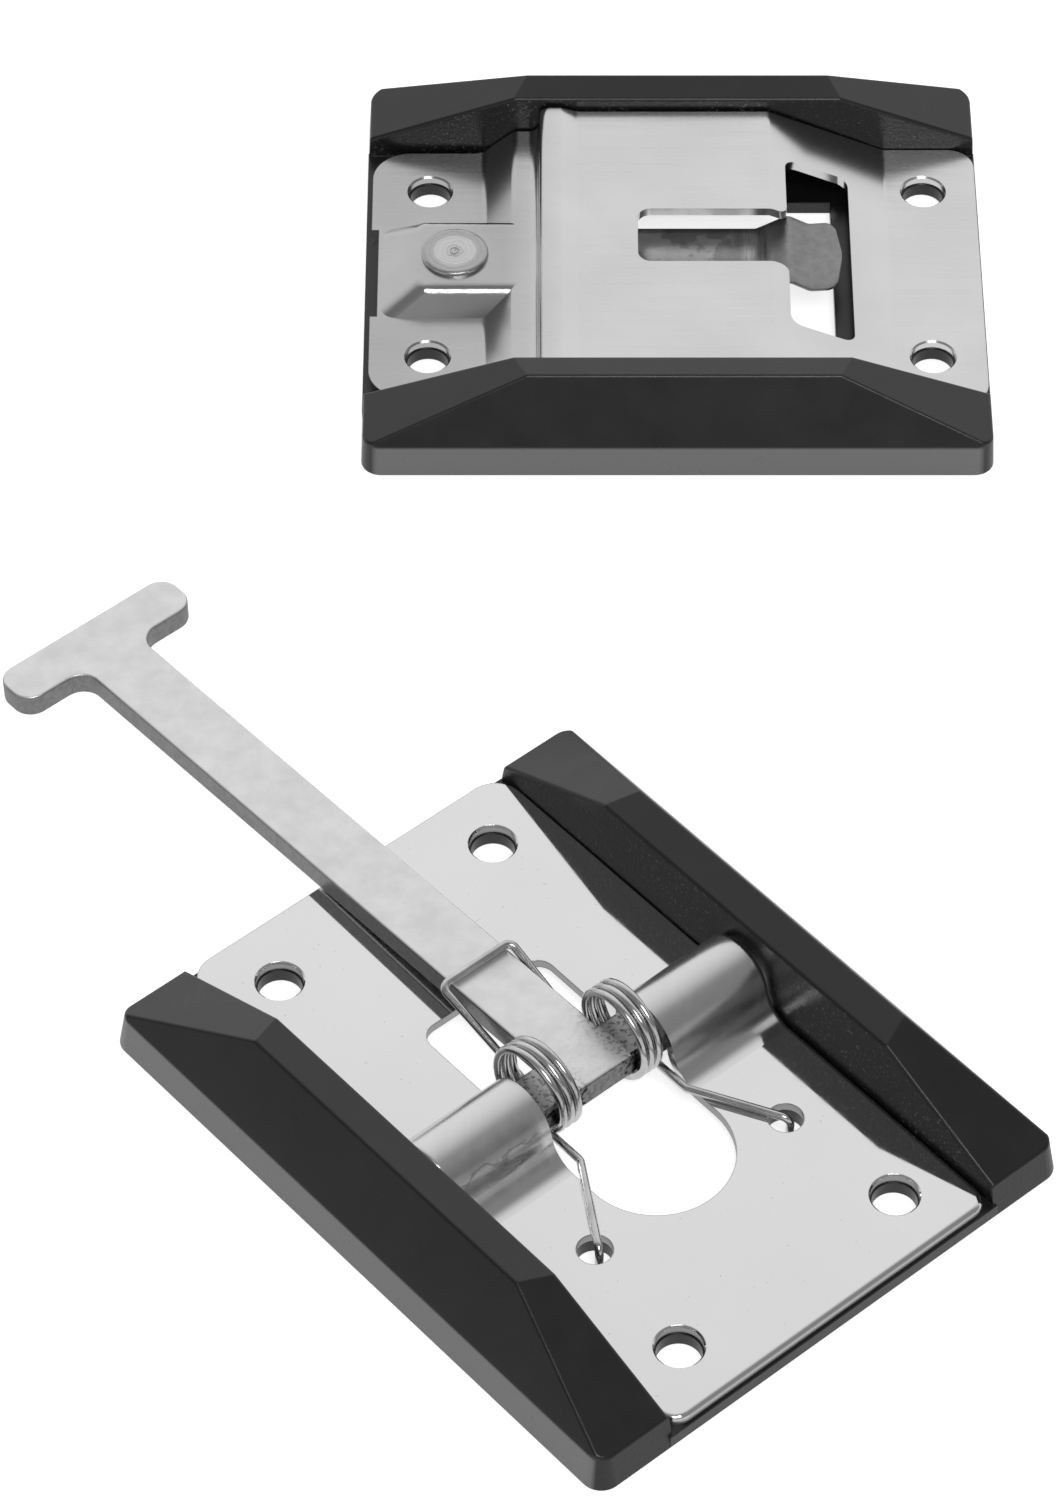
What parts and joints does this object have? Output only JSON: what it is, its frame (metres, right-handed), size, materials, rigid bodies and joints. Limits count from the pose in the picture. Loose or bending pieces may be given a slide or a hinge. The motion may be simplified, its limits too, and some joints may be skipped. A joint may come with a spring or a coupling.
{
  "type": "door holdback latch and keeper",
  "caption": "Wall latch unit with a sprung folding T-arm, and a slotted keeper plate that catches the T-head; both on faceted rubber bumper pads.",
  "frame": {"origin": "centre of the latch unit's back, on the plane that both units are screwed down on", "axes": "+Z away from the mounting plane; X along the keeper's bumpers and Y across them; the latch unit is turned 49.2 degrees clockwise about Z, its T-head end toward -X and +Y"},
  "size_m": [0.146, 0.2643, 0.0153],
  "materials": {
    "latch_plate": "bright polished stainless sheet",
    "latch_bumper": "moulded black rubber, matte",
    "t_arm": "tumbled steel, satin with faint mottling",
    "torsion_spring": "bright drawn spring wire",
    "keeper_plate": "satin stainless sheet",
    "keeper_bumper": "moulded black rubber, matte",
    "retaining_leaf": "dull grey spring steel",
    "leaf_rivet": "turned and staked head"
  },
  "bodies": {
    "latch_base": {"latch_plate": "latch_plate", "latch_bumper": "latch_bumper", "torsion_spring": "torsion_spring"},
    "arm": {"t_arm": "t_arm"},
    "keeper": {"keeper_plate": "keeper_plate", "keeper_bumper": "keeper_bumper", "leaf_rivet": "leaf_rivet"},
    "leaf": {"retaining_leaf": "retaining_leaf"}
  },
  "joints": [
    {"name": "arm_swing", "type": "hinge", "parent": "latch_base", "child": "arm", "pos_m": [0.0002, -0.00023, 0.0061], "axis": [0.757, 0.6534, 0], "range_deg": [0, 90], "stiffness_Nm_per_rad": 0.078, "springref_deg": -28.65, "deforming": ["torsion_spring"]},
    {"name": "keeper_lift", "type": "slide", "parent": "latch_base", "child": "keeper", "axis": [0, 0, 1], "range_m": [0, 0.06]},
    {"name": "leaf_flex", "type": "hinge", "parent": "keeper", "child": "leaf", "pos_m": [-0.0135, 0.16, 0.00575], "axis": [0, 1, 0], "range_deg": [0, 5], "stiffness_Nm_per_rad": 1.7, "springref_deg": -1.72, "deforming": ["retaining_leaf"]}
  ]
}
